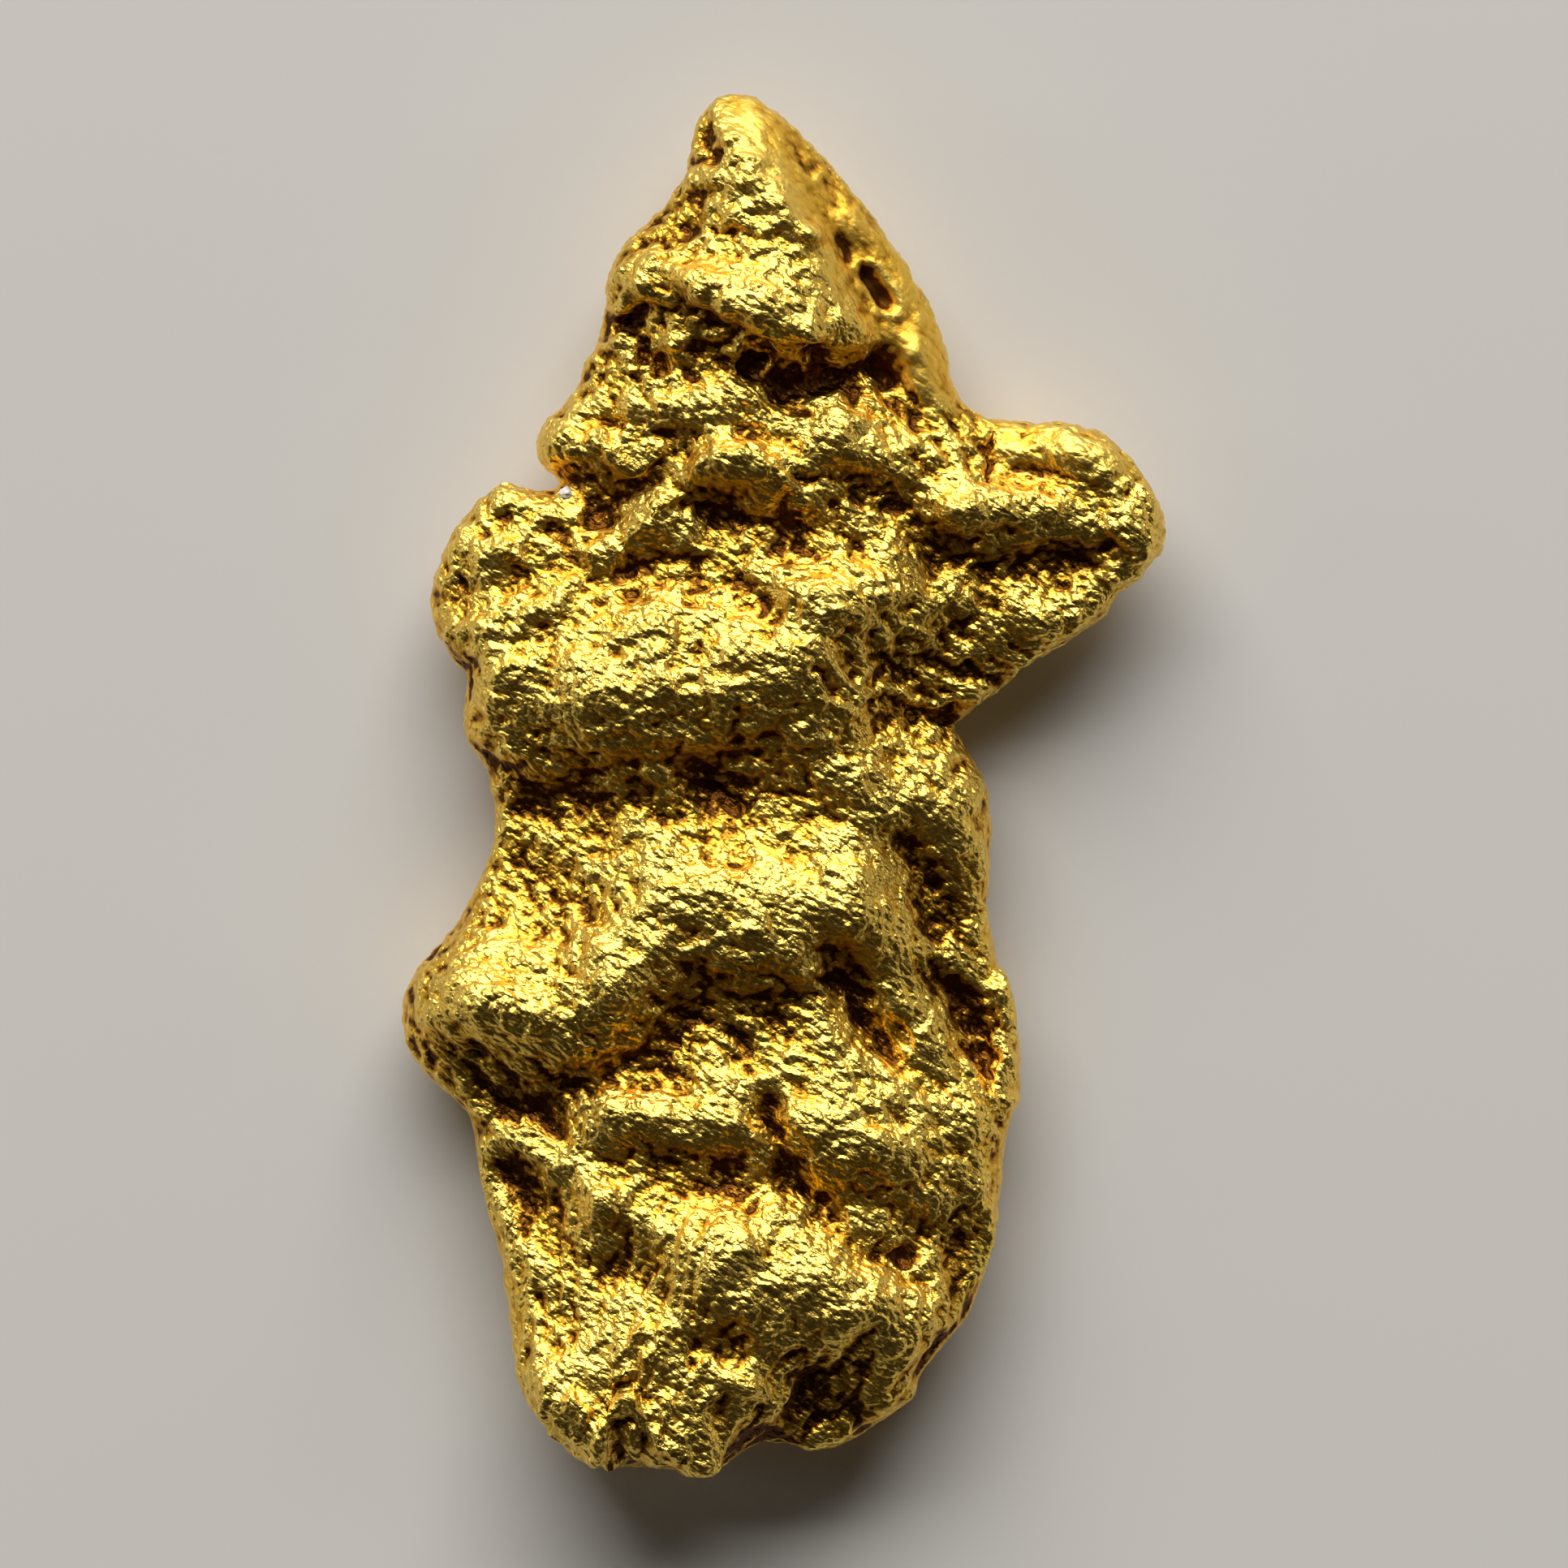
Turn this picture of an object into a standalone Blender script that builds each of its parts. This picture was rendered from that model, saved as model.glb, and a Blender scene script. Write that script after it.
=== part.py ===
"""Gold nugget: one solid piece of native gold, lying on its worn back.

+Z is up, +Y runs to the pointed tip and +X to the ear-shaped wing. The tables are in millimetres of
plan, from the middle of the nugget, and the whole piece is scaled to LENGTH at the end.
"""
import math

import bmesh
import bpy
import numpy as np
from mathutils import Vector, noise
from mathutils.geometry import delaunay_2d_cdt

# Driving sizes
LENGTH = 0.0339            # metres, tip to foot
RIM = 0.62                 # half thickness of the rounded edge
EDGE = 0.4                 # how far in from the outline the edge is round
FRONT_SWELL = 0.95         # how much the front rises from the edge to the middle
BACK_SWELL = 1.05          # how much the back does
SWELL_REACH = 4.0          # distance from the edge where the swell is full
MID_HEIGHT = 1.6           # middle plane over the floor, so the back's high places are worn flat
END_LIFT = 0.55            # how far tip and foot lift clear of the floor
BACK_RELIEF = 0.5          # strength of the folds on the back
LUMP_HEIGHT = 0.26
LUMP_SIZE = 1.9
RELIEF_FADE = 0.5          # relief dies out over this distance from the edge

# Facets
SPAN_PARTS = 4             # edge points in each span of the outline
FRONT_STEP = 0.37
BACK_STEP = 0.66
RING_STEP = 0.36

# The outline seen from above, clockwise from the west side of the tip
OUTLINE = [
    (-0.7, 16.9), (0.1, 16.2), (2.4, 13.6), (3.6, 11.6), (4.1, 9.8), (5.0, 8.9), (5.5, 8.9),
    (7.3, 8.8), (8.6, 7.9), (9.2, 6.7), (9.2, 5.7), (8.2, 4.7), (7.6, 4.0), (5.1, 2.4), (4.3, 1.5),
    (4.0, 1.5), (4.9, 0.1), (5.0, -1.0), (5.0, -3.6), (5.6, -5.4), (5.7, -7.5), (5.4, -8.5),
    (5.2, -10.4), (4.7, -12.5), (4.2, -13.4), (3.2, -14.5), (3.1, -15.0), (2.6, -15.5), (1.1, -16.3),
    (-0.1, -16.2), (-0.8, -16.2), (-2.0, -16.9), (-3.4, -16.7), (-4.7, -16.7), (-5.8, -15.8),
    (-6.5, -14.7), (-6.7, -12.9), (-7.5, -9.3), (-7.7, -8.2), (-9.1, -6.7), (-9.3, -5.5), (-8.9, -4.4),
    (-7.9, -3.3), (-7.1, -1.3), (-7.2, 0.3), (-7.8, 1.2), (-7.8, 2.8), (-8.1, 3.1), (-8.6, 4.2),
    (-8.2, 6.1), (-6.8, 7.5), (-6.2, 7.1), (-5.3, 7.4), (-6.0, 8.0), (-5.9, 8.9), (-5.5, 9.2),
    (-5.0, 9.8), (-4.9, 10.4), (-4.5, 11.0), (-4.1, 13.0), (-2.8, 14.3), (-2.3, 15.0), (-2.2, 16.2),
    (-1.6, 16.8),
]

# Each form: height, width on the left of its line, width on the right, and the line it follows.
# Left is the left hand of someone walking along the line. Lines that run east have north on the left.
FRONT = {
    "peak dome": (0.60, 2.6, 2.6, [(-0.9, 14.8), (-0.3, 12.4)]),
    "peak ledge": (0.72, 2.2, 1.7, [(-3.9, 11.5), (-2.7, 11.8), (-1.3, 11.5), (0.0, 11.2), (0.9, 11.3)]),
    "deep ledge pit": (-0.60, 0.7, 0.7, [(-0.8, 10.1), (0.0, 9.7)]),
    "east ledge pit": (-0.40, 0.6, 0.6, [(0.9, 9.9), (1.7, 9.6)]),
    "far ledge pit": (-0.40, 0.6, 0.6, [(2.2, 10.3), (2.6, 10.1)]),
    "west ledge pit": (-0.40, 0.6, 0.6, [(-4.0, 11.3), (-3.5, 11.0)]),
    "ledge foot": (0.40, 0.8, 0.9, [(-4.1, 9.6), (-2.9, 9.3), (-1.4, 9.5), (-0.6, 9.6)]),
    "west knob": (0.52, 0.9, 0.9, [(-5.5, 8.4), (-4.7, 8.2), (-3.8, 8.0)]),
    "strap ridge": (0.40, 0.6, 0.7, [(-4.4, 5.8), (-3.5, 6.6), (-2.3, 7.5), (-1.0, 8.0)]),
    "long ledge": (0.60, 1.7, 1.4, [(-1.2, 7.8), (0.4, 7.8), (1.9, 8.1), (3.3, 7.4), (4.7, 6.5)]),
    "side ridge": (0.24, 0.7, 0.7, [(-0.2, 14.5), (0.8, 12.8), (1.6, 11.3), (2.0, 10.1)]),
    "side groove": (-0.24, 0.5, 0.5, [(0.4, 15.2), (1.4, 13.3), (2.1, 11.3), (2.4, 10.2)]),
    "wing root ridge": (0.28, 0.7, 0.6, [(3.3, 10.5), (3.7, 9.3), (4.5, 8.1)]),
    "wing root hollow": (-0.40, 0.9, 0.8, [(1.3, 7.5), (2.3, 7.2), (3.2, 7.0)]),
    "strap hollow": (-0.32, 1.2, 1.0, [(-1.9, 6.8), (-0.8, 6.2), (0.2, 5.5)]),
    "middle ledge": (0.48, 1.5, 0.8, [(-0.6, 5.8), (0.7, 4.5), (2.6, 4.6)]),
    "upper swell": (1.04, 3.0, 2.6, [(-6.8, 2.3), (-5.3, 2.1), (-2.6, 2.4), (-0.8, 2.5), (0.5, 3.1)]),
    "fold hollow": (-0.28, 1.2, 1.2, [(-1.9, 0.1), (-1.2, -1.5)]),
    "east swell": (0.64, 2.6, 1.3, [(1.5, 0.5), (3.1, -0.5), (4.8, -1.1)]),
    "east rib": (0.28, 1.0, 0.9, [(1.9, -1.3), (2.2, -2.9), (2.9, -4.5)]),
    "middle swell": (0.92, 3.2, 2.0, [(-7.5, -5.5), (-5.5, -5.7), (-3.8, -4.7), (-2.3, -3.6), (0.8, -3.6)]),
    "west bump": (0.32, 1.2, 1.2, [(-8.4, -5.3), (-7.3, -5.2)]),
    "upper furrow": (-0.56, 0.8, 0.6, [(1.0, -4.2), (1.7, -5.4), (2.5, -6.4)]),
    "upper furrow lip": (0.24, 0.5, 0.5, [(1.7, -3.7), (2.7, -5.2), (3.7, -6.2)]),
    "east furrow": (-0.48, 0.6, 0.6, [(3.5, -4.6), (4.1, -5.2), (4.9, -6.2), (5.2, -7.6)]),
    "lower east swell": (0.56, 2.8, 1.8, [(0.4, -8.2), (1.9, -8.9), (3.5, -9.3), (4.6, -9.5)]),
    "long furrow": (-0.44, 0.6, 0.6, [(-0.4, -7.9), (0.0, -9.2), (0.7, -10.2), (1.7, -11.2), (2.8, -11.8)]),
    "long furrow lip": (0.24, 0.9, 0.8, [(-1.9, -6.7), (-1.3, -8.3), (-0.7, -9.7), (0.4, -11.0)]),
    "west slant ridge": (0.40, 0.7, 0.6, [(-8.2, -7.6), (-6.5, -8.8), (-5.5, -9.5), (-4.5, -10.2)]),
    "west pocket": (-0.28, 0.7, 0.8, [(-7.0, -9.5), (-6.1, -10.4)]),
    "saddle ridge": (0.44, 0.8, 1.3, [(-4.5, -8.0), (-3.3, -8.0), (-1.9, -8.2)]),
    "step": (0.44, 1.0, 1.6, [(-4.5, -10.6), (-2.7, -10.7), (-1.5, -11.2)]),
    "lower hollow": (-0.32, 1.2, 1.0, [(-3.8, -11.9), (-2.8, -12.8), (-1.9, -13.8)]),
    "apron": (0.88, 2.7, 2.1, [(-1.4, -12.7), (0.3, -12.7), (1.8, -13.0), (2.9, -13.6)]),
    "heel": (0.92, 4.6, 0.9, [(-5.3, -16.2), (-3.5, -16.5), (-2.1, -16.5)]),
    "foot": (0.28, 1.0, 1.0, [(-1.7, -14.8), (-0.6, -14.8)]),
    "wing rim": (0.32, 0.5, 0.6, [(5.5, 8.2), (6.7, 8.4), (7.9, 7.8), (8.7, 6.8), (8.9, 5.8), (8.4, 5.1)]),
    "wing groove": (-0.28, 0.5, 0.5, [(5.7, 7.6), (6.9, 7.3), (8.1, 6.5)]),
    "wing rib": (0.24, 0.5, 0.5, [(4.3, 6.8), (5.7, 7.0), (7.1, 7.0), (8.1, 6.3)]),
    "wing hollow": (-0.48, 1.1, 1.3, [(3.7, 5.7), (5.5, 5.6), (7.2, 5.4)]),
    "wing apron": (0.28, 1.2, 0.7, [(4.7, 3.3), (6.3, 3.6), (7.5, 4.3)]),
    "collar left rim": (0.22, 0.5, 0.5, [(-7.1, 7.2), (-7.8, 6.3), (-8.3, 5.2), (-8.3, 4.1), (-8.0, 3.4)]),
    "collar right rim": (0.32, 0.5, 0.5, [(-6.8, 7.2), (-6.1, 6.7), (-5.2, 6.4), (-4.4, 5.4)]),
    "collar rib": (0.18, 0.5, 0.5, [(-7.5, 5.4), (-6.3, 5.7), (-4.9, 5.7)]),
    "collar groove": (-0.22, 0.5, 0.5, [(-8.1, 4.6), (-6.5, 5.0)]),
    "collar low rib": (0.24, 0.5, 0.5, [(-8.1, 3.6), (-6.5, 4.2), (-5.2, 4.7)]),
    "collar low groove": (-0.22, 0.5, 0.5, [(-6.4, 3.5), (-4.5, 4.0)]),
}
BACK = {
    "back of the peak": (0.8, 1.9, 2.2, [(-1.0, 14.8), (0.8, 12.4), (1.6, 10.4)]),
    "back of the peak ledge": (-0.8, 1.0, 1.2, [(-4.0, 11.6), (-2.6, 10.4), (-2.2, 9.2)]),
    "upper back fold": (-1.0, 1.0, 1.5, [(-4.4, 7.4), (-1.8, 8.4), (1.0, 8.0), (3.4, 9.2)]),
    "behind the wing": (-1.1, 1.5, 1.3, [(4.4, 4.4), (6.6, 5.8), (8.2, 6.0)]),
    "wing crease": (0.7, 0.7, 0.9, [(3.4, 6.2), (5.6, 7.3), (7.6, 7.4)]),
    "behind the collar": (-1.0, 1.2, 1.2, [(-7.8, 6.2), (-6.6, 4.8), (-6.4, 3.4)]),
    "upper back swell": (0.9, 1.7, 1.4, [(-4.6, 4.4), (-1.8, 3.2), (1.8, 3.8)]),
    "back rib": (0.6, 0.8, 1.4, [(-1.4, 1.4), (-0.6, -1.2), (-1.6, -3.6)]),
    "west back fold": (-0.9, 0.9, 1.5, [(-6.8, 1.6), (-4.4, 0.2), (-2.4, -0.6)]),
    "east back fold": (-0.9, 1.3, 0.9, [(0.8, 1.6), (2.8, 0.6), (4.8, -1.2)]),
    "west pit": (-0.7, 0.9, 0.9, [(-5.8, -2.4), (-4.8, -3.2)]),
    "lower back swell": (0.7, 1.9, 1.6, [(-6.8, -5.0), (-3.4, -5.8), (0.4, -4.8), (3.6, -5.4)]),
    "lower back furrow": (-1.0, 0.8, 1.1, [(-6.6, -8.0), (-3.6, -8.8), (-1.2, -7.8), (1.6, -8.6)]),
    "east back furrow": (-0.8, 0.9, 0.8, [(4.6, -6.0), (3.6, -8.4), (2.2, -10.6)]),
    "back of the foot": (0.8, 1.8, 1.6, [(-5.2, -11.6), (-2.2, -12.6), (0.4, -11.8)]),
    "heel hollow": (-0.8, 1.1, 1.2, [(-4.6, -15.4), (-2.4, -14.4), (0.4, -14.6), (2.0, -13.6)]),
}


def spline(points, parts, closed=False):
    """Catmull-Rom curve through the points."""
    count = len(points)
    curve = []
    for i in range(count if closed else count - 1):
        if closed:
            a, b, c, d = (np.array(points[(i + k) % count]) for k in (-1, 0, 1, 2))
        else:
            a, b, c, d = (np.array(points[min(max(i + k, 0), count - 1)]) for k in (-1, 0, 1, 2))
        for k in range(parts):
            t = k / parts
            curve.append(0.5 * (2 * b + (c - a) * t + (2 * a - 5 * b + 4 * c - d) * t * t
                                + (3 * b - a - 3 * c + d) * t ** 3))
    if not closed:
        curve.append(np.array(points[-1], float))
    return np.array(curve)


def nearest(xy, line):
    """Distance from each point to the line, and the side it lies on, 1 left to -1 right."""
    best = np.full(len(xy), np.inf)
    side = np.zeros(len(xy))
    for start, end in zip(line[:-1], line[1:]):
        along = end - start
        t = np.clip(((xy - start) @ along) / (along @ along), 0, 1)
        off = xy - (start + t[:, None] * along)
        dist = np.hypot(off[:, 0], off[:, 1])
        closer = dist < best
        turn = (along[0] * off[:, 1] - along[1] * off[:, 0]) / np.hypot(*along)
        best[closer] = dist[closer]
        side[closer] = (turn / np.maximum(dist, 1e-9))[closer]
    return best, side


def inside(xy, loop):
    """Which points the closed loop holds."""
    held = np.zeros(len(xy), bool)
    for (x0, y0), (x1, y1) in zip(loop, np.roll(loop, -1, axis=0)):
        spans = (y0 > xy[:, 1]) != (y1 > xy[:, 1])
        if spans.any():
            cross = x0 + (x1 - x0) * (xy[:, 1] - y0) / (y1 - y0)
            held ^= spans & (xy[:, 0] < cross)
    return held


def ease(low, high, value):
    t = np.clip((value - low) / (high - low), 0, 1)
    return t * t * (3 - 2 * t)


def relief(xy, forms):
    """Sum of the rounded ridges and hollows at each point."""
    total = np.zeros(len(xy))
    for height, left, right, points in forms.values():
        dist, side = nearest(xy, spline(points, 6))
        width = right + (left - right) * (0.5 + 0.5 * side)
        u = np.clip(dist / width, 0, 1)
        total += height * (1 - u * u) ** 2
    return total


def lumps(xy, shift):
    """Uneven skin of a river-worn nugget."""
    spots = [Vector((x / LUMP_SIZE, y / LUMP_SIZE, shift)) for x, y in xy]
    return LUMP_HEIGHT * np.array([noise.fractal(spot, 0.9, 2.0, 2) for spot in spots])


def middle(xy):
    """Height of the middle plane, which lifts at both ends and at the wing."""
    ends = ease(5.0, 17.0, np.abs(xy[:, 1] + 1.0))
    wing = ease(4.5, 9.5, xy[:, 0])
    return MID_HEIGHT + END_LIFT * ends + 0.5 * wing


def apart(points, others, gap):
    """The points that keep the gap from the others."""
    kept = [p for p in points if np.min(np.hypot(*(others - p).T)) > gap]
    return np.array(kept)


def thinned(points, gap):
    """The points in order, without those closer than the gap to one already kept."""
    kept = []
    for p in points:
        if not kept or np.min(np.hypot(*(np.array(kept) - p).T)) > gap:
            kept.append(p)
    return np.array(kept)


def lattice(step, margin, loop, edge):
    """Triangular grid inside the outline, the margin away from its edge."""
    rows = []
    low, high = loop.min(0), loop.max(0)
    rise = step * math.sqrt(3) / 2
    for row in range(int((high[1] - low[1]) / rise) + 2):
        xs = np.arange(low[0] + (row % 2) * step / 2, high[0], step)
        rows.append(np.stack([xs, np.full(len(xs), low[1] + row * rise)], 1))
    grid = np.vstack(rows)
    grid = grid[inside(grid, loop)]
    return grid[nearest(grid, edge)[0] > margin]


def rounding_rings(loop, edge):
    """Points just inside the edge, where the rounded rim turns into the face."""
    ahead = np.roll(loop, -1, axis=0) - np.roll(loop, 1, axis=0)
    inward = np.stack([ahead[:, 1], -ahead[:, 0]], 1) / np.hypot(*ahead.T)[:, None]
    rings = []
    for angle, gap in ((34, 0.16), (68, RING_STEP)):
        depth = EDGE * (1 - math.cos(math.radians(angle)))
        ring = loop + inward * depth
        ring = ring[inside(ring, loop)]
        ring = ring[nearest(ring, edge)[0] > 0.93 * depth]
        rings.append(thinned(ring, gap))
    return rings


def sheet(loop, inner):
    """Triangles over the outline and the inner points, with no edge that cuts across between rim points."""
    rim = len(loop)
    while True:
        points = np.vstack([loop, inner])
        edges = [(i, (i + 1) % rim) for i in range(rim)]
        plan, _, faces, _, _, _ = delaunay_2d_cdt([Vector(p) for p in points], edges, [], 1, 1e-7)
        chords = set()
        for face in faces:
            for a, b in zip(face, face[1:] + face[:1]):
                if max(a, b) < rim and (b - a) % rim not in (1, rim - 1):
                    chords.add((min(a, b), max(a, b)))
        if len(plan) != len(points):
            raise ValueError("points of the sheet fall together")
        if not chords:
            return np.array([tuple(p) for p in plan]), faces
        extra = [(points[a] + points[b]) / 2 for a, b in sorted(chords)]
        inner = np.vstack([inner, extra])


def face_height(xy, depth, swell):
    """Rise of a face over the middle plane: a rounded rim, then a gentle swell."""
    u = np.clip(depth / EDGE, 0, 1)
    rounded = np.sqrt(np.maximum(1 - (1 - u) ** 2, 0))
    return (RIM + swell * ease(0, SWELL_REACH, depth)) * rounded


def nugget():
    loop = spline(OUTLINE, SPAN_PARTS, closed=True)
    loop = thinned(loop, 0.2)
    edge = np.vstack([loop, loop[:1]])
    rings = rounding_rings(loop, edge)

    crests = np.vstack([spline(form[3], 4) for form in FRONT.values() if min(form[1:3]) < 1.0])
    crests = crests[inside(crests, loop)]
    crests = thinned(crests[nearest(crests, edge)[0] > 0.6], FRONT_STEP * 0.8)
    grid = apart(lattice(FRONT_STEP, 0.5, loop, edge), crests, FRONT_STEP * 0.7)
    front_inner = np.vstack([rings[0], rings[1], crests, grid])
    back_inner = np.vstack([rings[0], rings[1], lattice(BACK_STEP, 0.7, loop, edge)])

    front_plan, front_faces = sheet(loop, front_inner)
    back_plan, back_faces = sheet(loop, back_inner)

    depth = nearest(front_plan, edge)[0]
    fade = ease(0, RELIEF_FADE, depth)
    top = middle(front_plan) + face_height(front_plan, depth, FRONT_SWELL)
    top += fade * (relief(front_plan, FRONT) + lumps(front_plan, 0.0))

    depth = nearest(back_plan, edge)[0]
    fade = ease(0, RELIEF_FADE, depth)
    under = middle(back_plan) - face_height(back_plan, depth, BACK_SWELL)
    under -= fade * (BACK_RELIEF * relief(back_plan, BACK) + lumps(back_plan, 31.0))
    under = np.maximum(under, 0)

    rim = len(loop)
    verts = [(x, y, z) for (x, y), z in zip(front_plan, top)]
    verts += [(x, y, z) for (x, y), z in zip(back_plan[rim:], under[rim:])]
    shift = len(front_plan) - rim
    faces = [tuple(f) for f in front_faces]
    faces += [tuple(i if i < rim else i + shift for i in reversed(f)) for f in back_faces]
    return verts, faces


def gold():
    material = bpy.data.materials.new("gold")
    material.use_nodes = True
    shader = material.node_tree.nodes["Principled BSDF"]
    shader.inputs["Base Color"].default_value = (0.83, 0.56, 0.13, 1)
    shader.inputs["Metallic"].default_value = 1.0
    shader.inputs["Roughness"].default_value = 0.3
    return material


for old in list(bpy.data.objects):
    bpy.data.objects.remove(old, do_unlink=True)

verts, faces = nugget()
verts = np.array(verts)
low, high = verts.min(0), verts.max(0)
scale = LENGTH / (high[1] - low[1])
verts = (verts - [(low[0] + high[0]) / 2, (low[1] + high[1]) / 2, low[2]]) * scale

mesh = bpy.data.meshes.new("gold_nugget")
mesh.from_pydata([tuple(v) for v in verts], [], faces)
skin = bmesh.new()
skin.from_mesh(mesh)
bmesh.ops.recalc_face_normals(skin, faces=skin.faces)
skin.to_mesh(mesh)
skin.free()
mesh.materials.append(gold())
for face in mesh.polygons:
    face.use_smooth = True
body = bpy.data.objects.new("gold_nugget", mesh)
bpy.context.scene.collection.objects.link(body)
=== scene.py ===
"""Looks of the gold nugget: the crumpled skin, its gold, a grain of quartz, and the studio.

Places on the nugget are in millimetres of plan, in the frame's own axes: +X to the wing, +Y to the tip.
"""
import math

import bmesh
import bpy
import numpy as np
from mathutils import Matrix, Vector, noise
from mathutils.bvhtree import BVHTree


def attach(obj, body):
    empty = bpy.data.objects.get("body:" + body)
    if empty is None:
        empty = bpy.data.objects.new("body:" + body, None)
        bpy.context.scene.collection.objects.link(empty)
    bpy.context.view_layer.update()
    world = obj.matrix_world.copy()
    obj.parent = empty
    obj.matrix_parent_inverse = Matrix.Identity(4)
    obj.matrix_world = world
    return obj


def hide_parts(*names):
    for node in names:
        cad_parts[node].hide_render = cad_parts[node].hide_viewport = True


MM = 0.001

# Skin mesh
VOXEL = 0.118              # size of the fine mesh's cells
SWELL = 0.02               # makes up for what the smoothing takes off
FRONT_EASE = (0.1, 0.6)    # fine forms fade in over this upward share of the normal
LINE_WAVER = (0.6, 0.36)   # size and reach of the waver that makes drawn lines ragged
BEND = (0.8, 0.22)         # the same for the crumples
TOP_EASE = (4.2, 4.6)      # heights over which the relief gets lower, to stay in the CAD box
FLOOR_EASE = (0.0, 0.12)   # heights over which it gets lower towards the worn back

GRAIN = 0.19               # size of the flakes in the skin's finest grain
GRAIN_LEAN = 38            # degrees by which the flakes lean down to the right
GRAIN_STRETCH = 1.6        # length of a flake over its width
GRAIN_DEPTH = 0.088        # depth of the bump

# Brown patina and painted shade of the hollows and low places, painted shade on lee slopes and painted light
# on the heel, as the attribute that the gold reads
HOLLOW_ROUNDS = ((5, 1.0), (40, 0.6))    # rounds of averaging, and the share of each
VALLEY_SHARE = 0.13                      # share of the depth below the mean height round about, a painted shade in low places
VALLEY_CELL, VALLEY_REACH = 0.3, 1.2     # grid and reach of that mean
LEE_PAINTED_SHADE = 0.052                        # painted shade on slopes that face down the picture, away from the key light
HEEL_PAINTED_LIGHT = -0.035                      # painted light on the bright heel, which lightens its tone
HOLLOW_BASE, HOLLOW_GAIN = 0.44, 5.4

# Quartz grain: place in plan, and radius
QUARTZ_PLACE = (-5.37, 7.16)
QUARTZ_RADIUS = 0.15

# Camera and picture
FRAME_WIDTH = 38.64        # width of the picture at the nugget
CAMERA_HEIGHT = 400.0
MIDDLE_HEIGHT = 2.5        # height on the nugget at which that width holds
SENSOR = 36.0
FLOOR_HALF = 4.0           # metres

# Lights: name, place and size in metres, watts, colour
LIGHTS = (
    ("key", (-0.05, 0.68, 0.47), 1.04, 0.60, 11.4, (1.0, 0.97, 0.93)),
    ("west", (-0.80, 0.05, 0.24), 0.15, 0.5, 0.5, (1.0, 0.98, 0.95)),
    ("east", (0.80, 0.10, 0.22), 0.15, 0.5, 0.40, (1.0, 0.95, 0.88)),
)

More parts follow.
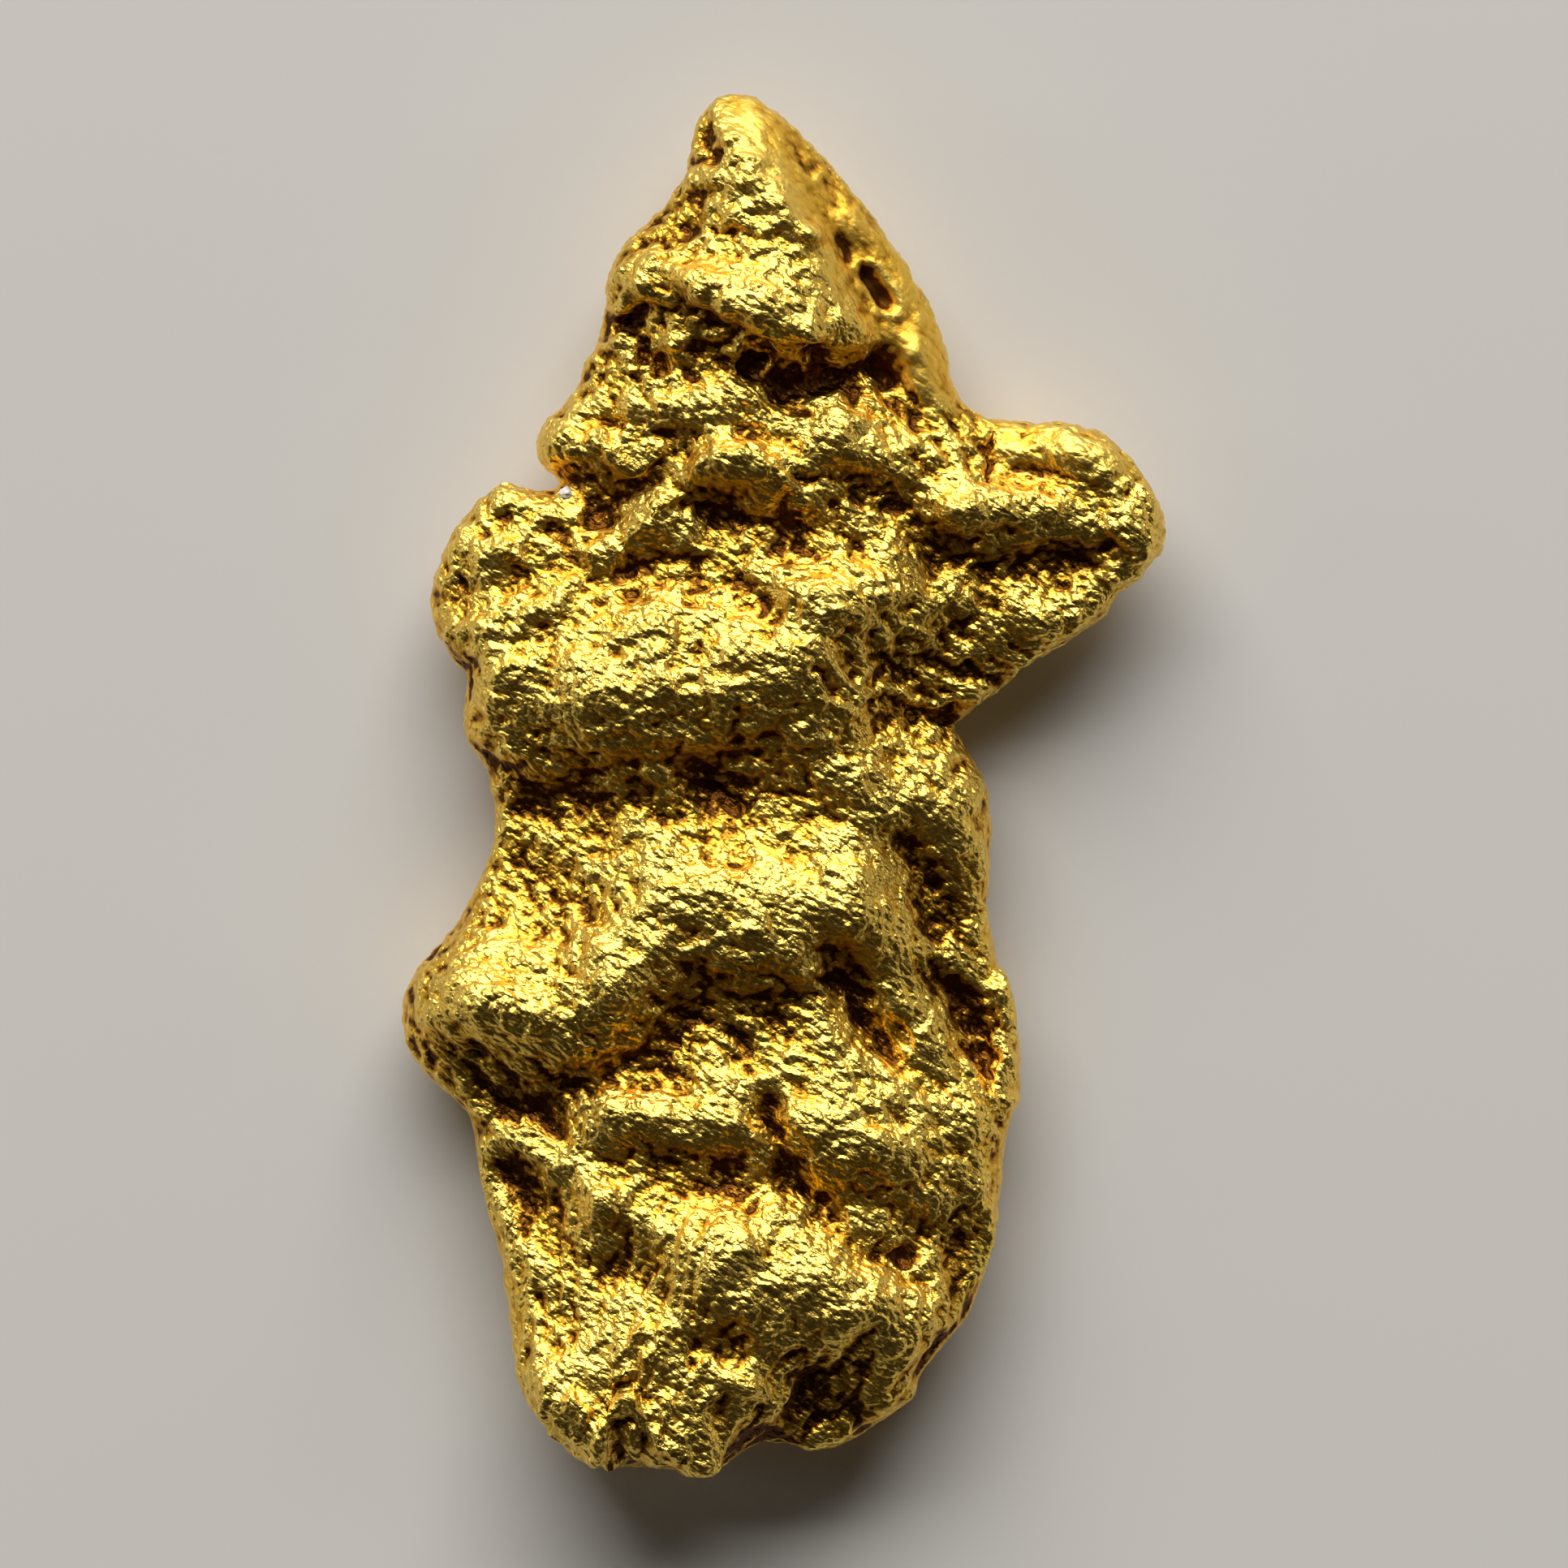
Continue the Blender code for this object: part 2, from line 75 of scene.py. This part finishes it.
# Fine forms of the front: height, width left of the line, width right of it, and the line.
DETAILS = {
    "almond pit": (-0.22, 0.32, 0.32, [(2.0, 12.5), (2.5, 11.9)]),
    "almond rim": (0.10, 0.18, 0.18, [
        (1.7, 12.9), (2.2, 12.8), (2.7, 12.2), (2.9, 11.6), (2.5, 11.5), (2.0, 12.0), (1.7, 12.9)]),
    "round pit": (-0.25, 0.36, 0.36, [(0.8, 10.7), (0.9, 10.6)]),
    "small pit": (-0.14, 0.22, 0.22, [(3.1, 9.5), (3.2, 9.4)]),
    "tip pit": (-0.38, 0.42, 0.42, [(-2.0, 16.0), (-1.9, 15.6)]),
    "strap crest": (0.12, 0.16, 0.18, [(-4.2, 5.6), (-3.0, 6.7), (-1.8, 7.9)]),
    "bib crest": (0.12, 0.18, 0.20, [(-0.6, 7.8), (0.4, 6.9), (1.1, 6.0), (1.7, 5.2)]),
    "bib hollow": (-0.14, 0.30, 0.34, [(0.3, 7.7), (1.2, 6.8), (1.9, 6.0)]),
    "tip bump": (0.18, 0.45, 0.45, [(-2.0, 15.0), (-1.8, 14.9)]),
    "tip ledge": (0.16, 0.5, 0.16, [(-1.6, 13.9), (-0.4, 13.6), (0.6, 13.4)]),
    "tip ridge": (0.14, 0.22, 0.22, [(-0.1, 14.4), (0.7, 13.3)]),
    "lens pit": (-0.18, 0.28, 0.28, [(-1.1, 12.1), (-0.7, 11.8)]),
    "crescent": (0.18, 0.22, 0.24, [(-3.7, 10.5), (-3.4, 10.0), (-2.9, 9.8), (-2.6, 10.0)]),
    "crescent hollow": (-0.22, 0.34, 0.34, [(-3.2, 10.4), (-3.0, 10.3)]),
    "ledge brow": (0.24, 0.70, 0.45, [(-3.9, 12.1), (-3.3, 12.6), (-2.6, 12.5), (-1.2, 11.9), (0.3, 11.1)]),
    "ledge undercut": (-0.46, 0.90, 0.60, [
        (-4.1, 11.4), (-3.0, 11.5), (-1.8, 11.2), (-0.6, 10.6), (0.8, 10.1), (1.6, 10.1)]),
    "ledge hole west": (-0.22, 0.40, 0.45, [(-3.9, 11.2), (-3.5, 10.9)]),
    "ledge hole": (-0.22, 0.35, 0.55, [(-2.2, 10.8), (-1.5, 10.5)]),
    "ledge hole deep": (-0.30, 0.50, 0.60, [(-0.7, 10.2), (-0.2, 9.8), (0.3, 9.8)]),
    "ledge hole east": (-0.16, 0.36, 0.46, [(1.0, 10.0), (1.7, 9.6)]),
    "ledge hole far": (-0.26, 0.36, 0.40, [(2.2, 10.4), (2.5, 9.9)]),
    "side pit a": (-0.08, 0.22, 0.22, [(0.3, 15.5), (0.7, 15.1)]),
    "side pit b": (-0.08, 0.22, 0.22, [(1.0, 14.8), (1.3, 14.3)]),
    "side pit c": (-0.10, 0.24, 0.24, [(1.4, 13.4), (1.6, 12.9)]),
    "knob curl": (0.20, 0.26, 0.28, [(-4.6, 8.5), (-4.0, 7.9), (-3.4, 7.8), (-3.1, 8.2)]),
    "wing crack": (-0.22, 0.16, 0.16, [(5.0, 8.6), (5.1, 7.7)]),
    "wing slit": (-0.18, 0.2, 0.2, [(3.1, 8.1), (3.7, 7.5)]),
    "fold pit": (-0.30, 0.34, 0.34, [(0.7, 2.6), (1.5, 2.3)]),
    "fold pit east": (-0.24, 0.30, 0.30, [(4.5, 2.8), (5.5, 2.5)]),
    "fold pit low": (-0.22, 0.26, 0.26, [(3.1, 1.7), (3.9, 1.7)]),
    "fold rim": (0.16, 0.28, 0.22, [(1.5, 2.4), (3.2, 2.1), (4.9, 1.9)]),
    "strip a": (0.10, 0.34, 0.28, [(0.9, 4.3), (2.0, 3.9), (3.0, 3.0), (4.7, 2.2)]),
    "strip b": (0.08, 0.34, 0.28, [(2.4, 4.4), (3.6, 3.5), (4.6, 3.2)]),
    "wing spur": (0.14, 0.22, 0.22, [(7.3, 5.4), (8.2, 4.9)]),
    "wing dent": (-0.14, 0.4, 0.4, [(4.6, 6.1), (5.6, 6.2)]),
    "ripple a": (0.05, 0.3, 0.36, [(-0.8, 0.2), (0.6, 0.1), (1.9, -0.1)]),
    "ripple b": (0.05, 0.3, 0.36, [(-0.9, -0.5), (0.6, -0.6), (1.9, -0.8)]),
    "ripple c": (0.05, 0.3, 0.36, [(-0.7, -1.2), (0.6, -1.4), (1.8, -1.5)]),
    "west lump": (0.14, 0.5, 0.5, [(-3.7, -1.0), (-3.4, -1.0)]),
    "east bead": (0.12, 0.2, 0.2, [(5.2, -4.6), (5.4, -6.0), (5.4, -7.5)]),
    "heel brow": (0.24, 1.7, 0.3, [(-6.2, -15.3), (-5.2, -16.0), (-4.2, -16.5), (-2.2, -16.5)]),
    "heel leg west": (0.22, 0.22, 0.26, [(-3.8, -15.2), (-4.3, -15.7), (-4.8, -16.4)]),
    "heel leg east": (0.30, 0.26, 0.24, [(-3.8, -15.2), (-3.1, -15.8), (-2.5, -16.4), (-1.6, -16.6)]),
    "heel bead": (0.20, 0.18, 0.18, [(-3.7, -15.8), (-3.6, -16.2)]),
    "heel toe": (0.18, 0.22, 0.22, [(-4.3, -16.5), (-4.1, -16.7)]),
    "heel hollow": (-0.24, 0.55, 0.50, [(-4.1, -15.8), (-3.9, -16.4)]),
    "heel streak a": (0.20, 0.14, 0.14, [(-3.0, -13.6), (-3.6, -14.6), (-4.2, -15.6)]),
    "heel streak b": (0.20, 0.14, 0.14, [(-3.4, -13.5), (-4.0, -14.5), (-4.6, -15.5)]),
    "heel streak c": (0.20, 0.14, 0.14, [(-5.6, -13.4), (-5.2, -14.6), (-4.9, -15.8)]),
    "heel streak d": (0.20, 0.14, 0.14, [(-6.1, -13.2), (-5.8, -14.6), (-5.3, -15.9)]),
    "heel streak e": (0.18, 0.14, 0.14, [(-3.2, -14.8), (-2.9, -15.4), (-2.4, -16.0)]),
    "foot lumps": (0.16, 0.4, 0.4, [(-2.1, -14.3), (-1.2, -14.9), (-0.3, -15.1)]),
}

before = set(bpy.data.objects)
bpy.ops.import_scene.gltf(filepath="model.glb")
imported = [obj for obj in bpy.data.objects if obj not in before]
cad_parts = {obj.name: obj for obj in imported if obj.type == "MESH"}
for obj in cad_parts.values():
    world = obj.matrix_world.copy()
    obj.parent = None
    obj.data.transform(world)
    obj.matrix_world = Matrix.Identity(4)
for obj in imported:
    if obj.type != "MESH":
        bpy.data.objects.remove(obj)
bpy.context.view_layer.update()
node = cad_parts["gold_nugget"]


def smooth_line(points, parts=6):
    """Catmull-Rom curve through the points."""
    last = len(points) - 1
    curve = []
    for i in range(last):
        a, b, c, d = (np.array(points[min(max(i + k, 0), last)], float) for k in (-1, 0, 1, 2))
        for k in range(parts):
            t = k / parts
            curve.append(0.5 * (2 * b + (c - a) * t + (2 * a - 5 * b + 4 * c - d) * t * t
                                + (3 * b - a - 3 * c + d) * t ** 3))
    curve.append(np.array(points[-1], float))
    return np.array(curve)


def ease(low, high, value):
    """Smooth step from 0 at low to 1 at high."""
    t = np.clip((value - low) / (high - low), 0, 1)
    return t * t * (3 - 2 * t)


def stroke(xy, height, left, right, points):
    """A rounded ridge or groove along a line."""
    line = smooth_line(points)
    best = np.full(len(xy), np.inf)
    side = np.zeros(len(xy))
    for start, end in zip(line[:-1], line[1:]):
        along = end - start
        t = np.clip(((xy - start) @ along) / (along @ along), 0, 1)
        off = xy - (start + t[:, None] * along)
        dist = np.hypot(off[:, 0], off[:, 1])
        closer = dist < best
        turn = (along[0] * off[:, 1] - along[1] * off[:, 0]) / np.hypot(*along)
        best[closer] = dist[closer]
        side[closer] = (turn / np.maximum(dist, 1e-9))[closer]
    width = right + (left - right) * (0.5 + 0.5 * side)
    u = np.clip(best / width, 0, 1)
    return height * (1 - u * u) ** 2


def noise_field(spots, size, shift, kind, stretch=1.0, turn=0.0):
    """Noise with cells of that size in mm, drawn out along a direction in plan by stretch."""
    cos, sin = math.cos(math.radians(turn)), math.sin(math.radians(turn))
    along = (spots[:, 0] * cos + spots[:, 1] * sin) / (size * stretch)
    across = (spots[:, 1] * cos - spots[:, 0] * sin) / size
    rise = spots[:, 2] / size + shift
    return np.array([kind(Vector(p)) for p in zip(along, across, rise)])


def folds(p):
    """Noise with sharp crests."""
    return 1 - 2 * abs(noise.noise(p))


def facets(p):
    """Noise of shallow cups with edges between them."""
    return noise.voronoi(p)[0][0] - 0.4


# Crumples: height, size, place in the noise, and kind
CRUMPLES = (
    (0.16, 0.9, 5.0, noise.noise),
    (0.095, 0.5, 11.0, folds),
    (0.055, 0.27, 19.0, folds),
    (0.070, 0.28, 23.0, facets),
)


def wavered(spots, size, reach):
    """The spots moved about a little in plan, so that lines laid over them come out ragged."""
    return spots + reach * np.stack([noise_field(spots, size, 3.0, noise.noise),
                                     noise_field(spots, size, 17.0, noise.noise),
                                     np.zeros(len(spots))], 1)


def polish(spots):
    """How far each spot is rubbed smooth: the east side of the tip, and less so the wing's outer edge."""
    x, y = spots[:, 0], spots[:, 1]
    tip_side = ease(-0.6, 1.0, x - 0.62 * (14.0 - y)) * ease(8.6, 10.0, y)
    wing_edge = ease(7.2, 8.0, y) * ease(4.6, 5.6, x)
    return np.clip(tip_side + 0.5 * wing_edge, 0, 1)


def heel(spots):
    """How far each spot lies on the bright, drawn-out heel at the lower left, where painted light lightens
    the gold.
    """
    x, y = spots[:, 0], spots[:, 1]
    return ease(-11.6, -14.2, y) * ease(-1.6, -3.2, x)


def crumple(spots):
    """Crumples of the whole skin, drawn out to the right lower down and fanned at the heel."""
    x, y = spots[:, 0], spots[:, 1]
    bent = wavered(spots, *BEND)
    low = ease(-8.0, -11.5, y)
    east = low * ease(-5.0, -4.0, x)
    mid = ease(0.5, -2.5, y) * (1 - low)
    high = 1 - low - mid
    rise = np.zeros(len(spots))
    for share, stretch, turn in ((high, 1.3, -20), (mid, 1.9, -38), (low - east, 2.6, -72), (east, 2.6, 68)):
        used = share > 0.001
        part = bent[used]
        field = sum(height * noise_field(part, size, shift, kind, stretch, turn)
                    for height, size, shift, kind in CRUMPLES)
        rise[used] += share[used] * field
    return rise


def fine_mesh(source):
    """Evenly meshed copy of a CAD node, smoothed over its facets."""
    copy = bpy.data.objects.new("skin_source", source.data.copy())
    copy.matrix_world = source.matrix_world
    bpy.context.scene.collection.objects.link(copy)
    copy.data.transform(Matrix.Scale(1 / MM, 4) @ copy.matrix_world)
    copy.matrix_world = Matrix.Identity(4)
    weld = copy.modifiers.new("weld", "WELD")
    weld.merge_threshold = 1e-4
    subdivide = copy.modifiers.new("subdivide", "SUBSURF")
    subdivide.levels = subdivide.render_levels = 2
    remesh = copy.modifiers.new("remesh", "REMESH")
    remesh.mode = "VOXEL"
    remesh.voxel_size = VOXEL
    even = copy.modifiers.new("even", "SMOOTH")
    even.iterations = 2
    depsgraph = bpy.context.evaluated_depsgraph_get()
    mesh = bpy.data.meshes.new_from_object(copy.evaluated_get(depsgraph))
    bpy.data.objects.remove(copy, do_unlink=True)
    return mesh


def mesh_arrays(mesh):
    """Points and normals of a mesh."""
    points = np.empty(3 * len(mesh.vertices))
    normals = np.empty(3 * len(mesh.vertices))
    mesh.vertices.foreach_get("co", points)
    mesh.vertices.foreach_get("normal", normals)
    return points.reshape(-1, 3), normals.reshape(-1, 3)


def neighbour_mean(values, ends, rounds):
    """Values averaged again and again with those at the other ends of their edges."""
    count = np.bincount(ends.ravel(), minlength=len(values))
    for _ in range(rounds):
        total = np.bincount(ends[:, 0], values[ends[:, 1]], len(values))
        total += np.bincount(ends[:, 1], values[ends[:, 0]], len(values))
        values = 0.5 * values + 0.5 * total / np.maximum(count, 1)
    return values


def valleys(points, weight, cell, reach):
    """How far each point lies below the weighted mean height over that reach, in plan."""
    column = np.round(points[:, :2] / cell).astype(int)
    column -= column.min(0)
    shape = column.max(0) + 1
    spot = column[:, 0] * shape[1] + column[:, 1]
    size = shape[0] * shape[1]
    count = np.bincount(spot, weight, size).reshape(shape)
    total = np.bincount(spot, weight * points[:, 2], size).reshape(shape)
    across = np.arange(-3 * reach, 3 * reach + cell, cell)
    bell = np.exp(-0.5 * (across / reach) ** 2)
    for axis in (0, 1):
        count, total = (np.apply_along_axis(np.convolve, axis, grid, bell, "same") for grid in (count, total))
    return weight * ((total / np.maximum(count, 1e-9)).ravel()[spot] - points[:, 2])


def skin():
    """The nugget's visible mesh, with its fine forms, as a piece in metres."""
    mesh = fine_mesh(node)
    points, normals = mesh_arrays(mesh)
    front = ease(*FRONT_EASE, normals[:, 2])
    smooth = polish(points) * front
    ragged = points + (wavered(points, *LINE_WAVER) - points) * (1 - 0.8 * smooth)[:, None]
    rise = np.zeros(len(points))
    for height, left, right, line in DETAILS.values():
        rise += front * stroke(ragged[:, :2], height, left, right, line)
    rise += crumple(points) * (1 - 0.8 * smooth) * (0.7 + 0.3 * front)
    rise *= 1 - 0.7 * ease(*TOP_EASE, points[:, 2])
    worn = ease(*FLOOR_EASE, points[:, 2])
    points += normals * ((SWELL + rise) * np.maximum(worn, 0.15))[:, None]
    points[:, 2] = np.maximum(points[:, 2], 0)
    mesh.vertices.foreach_set("co", points.ravel())
    mesh.update()

    points, normals = mesh_arrays(mesh)
    ends = np.empty(2 * len(mesh.edges), int)
    mesh.edges.foreach_get("vertices", ends)
    ends = ends.reshape(-1, 2)
    # hollow: a darker tone for brown patina and painted shade in hollows and low places, painted shade on lee
    # slopes, and a lighter tone for painted light on the heel
    hollow = np.zeros(len(points))
    for rounds, weight in HOLLOW_ROUNDS:
        mean = np.stack([neighbour_mean(points[:, k], ends, rounds) for k in range(3)], 1)
        hollow += weight * ((mean - points) * normals).sum(1)
    hollow *= 0.3 + 0.7 * ease(0.0, 0.6, normals[:, 2])
    front = ease(*FRONT_EASE, normals[:, 2])
    hollow += VALLEY_SHARE * valleys(points, front, VALLEY_CELL, VALLEY_REACH)
    # painted shade: slopes that face down the picture, away from the key light, get a darker tone
    hollow += LEE_PAINTED_SHADE * front * ease(0.15, 0.6, -normals[:, 1])
    hollow *= 1 - 0.45 * smooth
    # painted light: a lighter tone on the heel
    hollow += HEEL_PAINTED_LIGHT * heel(points)
    for name, values in (("hollow", np.clip(HOLLOW_BASE + hollow * HOLLOW_GAIN, 0, 1)), ("polish", smooth)):
        layer = mesh.attributes.new(name, "FLOAT", "POINT")
        layer.data.foreach_set("value", values)

    mesh.transform(Matrix.Scale(MM, 4))
    mesh.shade_smooth()
    piece = bpy.data.objects.new("nugget_skin", mesh)
    bpy.context.scene.collection.objects.link(piece)
    return piece


class Nodes:
    """Small helper that builds a material's node tree."""

    def __init__(self, name):
        self.material = bpy.data.materials.new(name)
        self.material.use_nodes = True
        self.tree = self.material.node_tree
        self.shader = self.tree.nodes["Principled BSDF"]

    def add(self, kind, **settings):
        made = self.tree.nodes.new(kind)
        for key, value in settings.items():
            setattr(made, key, value)
        return made

    def link(self, source, target):
        self.tree.links.new(source, target)

    def mapped(self, value, low, high, to_low, to_high):
        made = self.add("ShaderNodeMapRange")
        self.link(value, made.inputs["Value"])
        for key, number in (("From Min", low), ("From Max", high), ("To Min", to_low), ("To Max", to_high)):
            made.inputs[key].default_value = number
        return made.outputs["Result"]

    def noise(self, place, size, detail=4.0, roughness=0.55):
        made = self.add("ShaderNodeTexNoise")
        self.link(place, made.inputs["Vector"])
        made.inputs["Scale"].default_value = 1 / (size * MM)
        made.inputs["Detail"].default_value = detail
        made.inputs["Roughness"].default_value = roughness
        return made.outputs["Fac"]

    def ramp(self, value, stops):
        made = self.add("ShaderNodeValToRGB")
        self.link(value, made.inputs["Fac"])
        ramp = made.color_ramp
        ramp.elements[0].position, ramp.elements[0].color = stops[0][0], (*stops[0][1], 1)
        ramp.elements[1].position, ramp.elements[1].color = stops[-1][0], (*stops[-1][1], 1)
        for position, colour in stops[1:-1]:
            ramp.elements.new(position).color = (*colour, 1)
        return made.outputs["Color"]


def gold():
    """Native gold: bright on high places, brown and duller in the hollows from patina and painted shade, with
    painted shade on lee slopes and painted light on the heel, and darker olive where it is rubbed, a painted
    shade of the tip's shaded east side.
    """
    m = Nodes("gold")
    place = m.add("ShaderNodeTexCoord").outputs["Object"]
    hollow = m.add("ShaderNodeAttribute", attribute_name="hollow").outputs["Fac"]
    rubbed = m.add("ShaderNodeAttribute", attribute_name="polish").outputs["Fac"]
    patches = m.noise(place, 2.4, 1.0)
    lean = m.add("ShaderNodeMapping", vector_type="TEXTURE")
    m.link(place, lean.inputs["Vector"])
    lean.inputs["Rotation"].default_value = (0, 0, -math.radians(GRAIN_LEAN))
    lean.inputs["Scale"].default_value = (GRAIN_STRETCH, 1, 1)
    flakes = lean.outputs["Vector"]
    grain = m.noise(flakes, 0.16, 2.0, 0.45)

    beads = m.add("ShaderNodeTexVoronoi", feature="F1")
    m.link(flakes, beads.inputs["Vector"])
    beads.inputs["Scale"].default_value = 1 / (GRAIN * MM)
    relief = m.add("ShaderNodeMath", operation="MULTIPLY_ADD")
    m.link(beads.outputs["Distance"], relief.inputs[0])
    relief.inputs[1].default_value = -0.7
    m.link(grain, relief.inputs[2])

    blend = m.add("ShaderNodeMath", operation="MULTIPLY_ADD")
    m.link(patches, blend.inputs[0])
    blend.inputs[1].default_value = 0.30
    m.link(hollow, blend.inputs[2])
    speckled = m.add("ShaderNodeMath", operation="MULTIPLY_ADD")
    m.link(relief.outputs["Value"], speckled.inputs[0])
    speckled.inputs[1].default_value = -0.45
    m.link(blend.outputs["Value"], speckled.inputs[2])
    # painted shade: places rubbed smooth move towards a darker olive tone, as on the tip's shaded east side
    olive = m.add("ShaderNodeMath", operation="MULTIPLY_ADD")
    m.link(rubbed, olive.inputs[0])
    olive.inputs[1].default_value = 0.10
    m.link(speckled.outputs["Value"], olive.inputs[2])
    # tone from bright gold to dark brown, carrying the patina, the painted shade and the painted light of the
    # hollow attribute
    tone = m.ramp(olive.outputs["Value"], (
        (0.46, (0.98, 0.68, 0.13)),
        (0.67, (0.93, 0.56, 0.065)),
        (0.86, (0.54, 0.27, 0.024)),
        (1.00, (0.10, 0.036, 0.005)),
    ))
    m.link(tone, m.shader.inputs["Base Color"])
    m.shader.inputs["Metallic"].default_value = 1.0

    rough = m.add("ShaderNodeMath", operation="MULTIPLY_ADD")
    m.link(rubbed, rough.inputs[0])
    rough.inputs[1].default_value = 0.14
    m.link(m.mapped(hollow, 0.3, 0.9, 0.28, 0.34), rough.inputs[2])
    uneven = m.add("ShaderNodeMath", operation="MULTIPLY_ADD")
    m.link(grain, uneven.inputs[0])
    uneven.inputs[1].default_value = 0.12
    m.link(rough.outputs["Value"], uneven.inputs[2])
    m.link(uneven.outputs["Value"], m.shader.inputs["Roughness"])

    shown = m.add("ShaderNodeMath", operation="MULTIPLY")
    m.link(relief.outputs["Value"], shown.inputs[0])
    m.link(m.mapped(rubbed, 0, 1, 1.0, 0.35), shown.inputs[1])
    bump = m.add("ShaderNodeBump")
    bump.inputs["Strength"].default_value = 1.0
    bump.inputs["Distance"].default_value = GRAIN_DEPTH * MM
    m.link(shown.outputs["Value"], bump.inputs["Height"])
    m.link(bump.outputs["Normal"], m.shader.inputs["Normal"])
    return m.material


def quartz():
    """Milky quartz."""
    m = Nodes("quartz")
    m.shader.inputs["Base Color"].default_value = (0.9, 0.88, 0.86, 1)
    m.shader.inputs["Roughness"].default_value = 0.25
    m.shader.inputs["Subsurface Weight"].default_value = 0.3
    m.shader.inputs["Subsurface Scale"].default_value = 0.1 * MM
    return m.material


def quartz_grain(surface):
    """A chipped grain of quartz, pressed into the notch beside the collar."""
    tree = BVHTree.FromObject(surface, bpy.context.evaluated_depsgraph_get())
    above = Vector((QUARTZ_PLACE[0] * MM, QUARTZ_PLACE[1] * MM, 1))
    hit = tree.ray_cast(above, Vector((0, 0, -1)))[0]
    body = bmesh.new()
    bmesh.ops.create_icosphere(body, subdivisions=3, radius=QUARTZ_RADIUS * MM)
    for vertex in body.verts:
        spot = vertex.co / (QUARTZ_RADIUS * MM)
        vertex.co *= 1 + 0.22 * noise.cell(spot * 1.3) + 0.12 * noise.noise(spot * 2.1)
    mesh = bpy.data.meshes.new("quartz_grain")
    body.to_mesh(mesh)
    body.free()
    piece = bpy.data.objects.new("quartz_grain", mesh)
    piece.location = hit + Vector((0, 0, 0.03 * MM))
    bpy.context.scene.collection.objects.link(piece)
    mesh.materials.append(quartz())
    return piece


def studio():
    """Pale floor, soft lights and a dim surround."""
    mesh = bpy.data.meshes.new("floor")
    corners = [(x * FLOOR_HALF, y * FLOOR_HALF, 0) for x, y in ((-1, -1), (1, -1), (1, 1), (-1, 1))]
    mesh.from_pydata(corners, [], [(0, 1, 2, 3)])
    floor = bpy.data.objects.new("floor", mesh)
    bpy.context.scene.collection.objects.link(floor)
    m = Nodes("floor")
    m.shader.inputs["Base Color"].default_value = (0.70, 0.69, 0.67, 1)
    m.shader.inputs["Roughness"].default_value = 0.7
    mesh.materials.append(m.material)

    world = bpy.data.worlds.new("studio")
    world.use_nodes = True
    world.node_tree.nodes["Background"].inputs["Color"].default_value = (0.011, 0.008, 0.005, 1)
    bpy.context.scene.world = world
    bpy.context.scene.view_settings.view_transform = "Standard"

    for name, place, width, depth, power, tint in LIGHTS:
        light = bpy.data.lights.new(name, "AREA")
        light.shape = "RECTANGLE"
        light.size, light.size_y = width, depth
        light.energy = power
        light.color = tint
        lamp = bpy.data.objects.new(name, light)
        lamp.location = place
        lamp.rotation_euler = Vector(place).to_track_quat("Z", "Y").to_euler()
        bpy.context.scene.collection.objects.link(lamp)


def camera():
    """Camera straight above the nugget, with the picture's top towards the tip."""
    data = bpy.data.cameras.new("camera")
    data.sensor_width = SENSOR
    data.lens = SENSOR * (CAMERA_HEIGHT - MIDDLE_HEIGHT) / FRAME_WIDTH
    data.clip_start = 0.01
    eye = bpy.data.objects.new("camera", data)
    eye.location = (0, 0, CAMERA_HEIGHT * MM)
    bpy.context.scene.collection.objects.link(eye)
    bpy.context.scene.camera = eye


nugget = skin()
nugget.data.materials.clear()
nugget.data.materials.append(gold())
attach(nugget, "root")
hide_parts("gold_nugget")

grain = quartz_grain(nugget)
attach(grain, "root")

studio()
camera()
